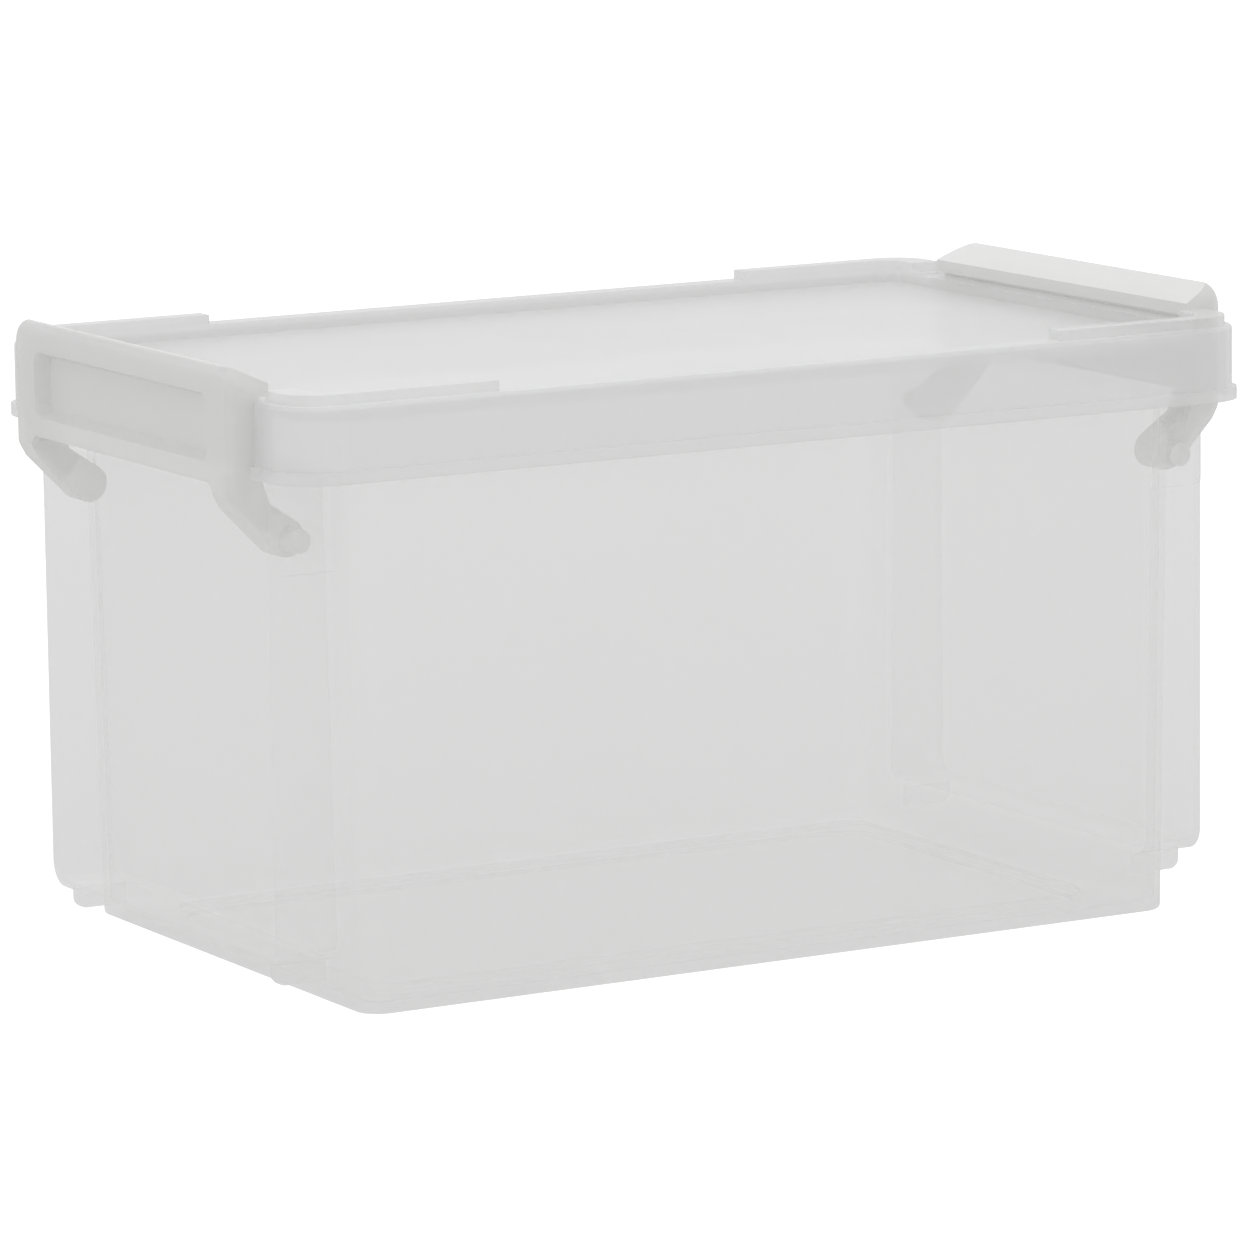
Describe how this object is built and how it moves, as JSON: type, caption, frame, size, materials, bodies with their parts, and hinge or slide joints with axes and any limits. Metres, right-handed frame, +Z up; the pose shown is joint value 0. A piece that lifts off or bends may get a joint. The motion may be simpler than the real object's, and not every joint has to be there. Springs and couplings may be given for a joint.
{
  "type": "lidded storage box",
  "caption": "Clear plastic storage box: a drafted tub with corner fins, a deep-skirted stacking lid and hooked swing handles at the ends that hold the lid down.",
  "frame": {"origin": "centre of the footprint, on the surface that the tub stands on", "axes": "+X along the length towards the right handle, +Y across the width towards the back, +Z up"},
  "size_m": [0.374, 0.2182, 0.2072],
  "materials": {
    "tub_plastic": "clear polypropylene, slightly hazy",
    "lid_plastic": "clear polypropylene, hazier than the tub",
    "handle_plastic": "milky white polypropylene"
  },
  "bodies": {
    "tub": {"tub": "tub_plastic"},
    "lid": {"lid": "lid_plastic"},
    "left_handle": {"left_handle": "handle_plastic"},
    "right_handle": {"right_handle": "handle_plastic"}
  },
  "joints": [
    {"name": "lid_lift", "type": "slide", "parent": "tub", "child": "lid", "axis": [0, 0, 1], "range_m": [0, 0.24]},
    {"name": "left_handle_swing", "type": "hinge", "parent": "tub", "child": "left_handle", "pos_m": [-0.1662, 0, 0.1516], "axis": [0, -1, 0], "range_deg": [0, 150]},
    {"name": "right_handle_swing", "type": "hinge", "parent": "tub", "child": "right_handle", "pos_m": [0.1662, 0, 0.1516], "axis": [0, 1, 0], "range_deg": [0, 150]}
  ]
}
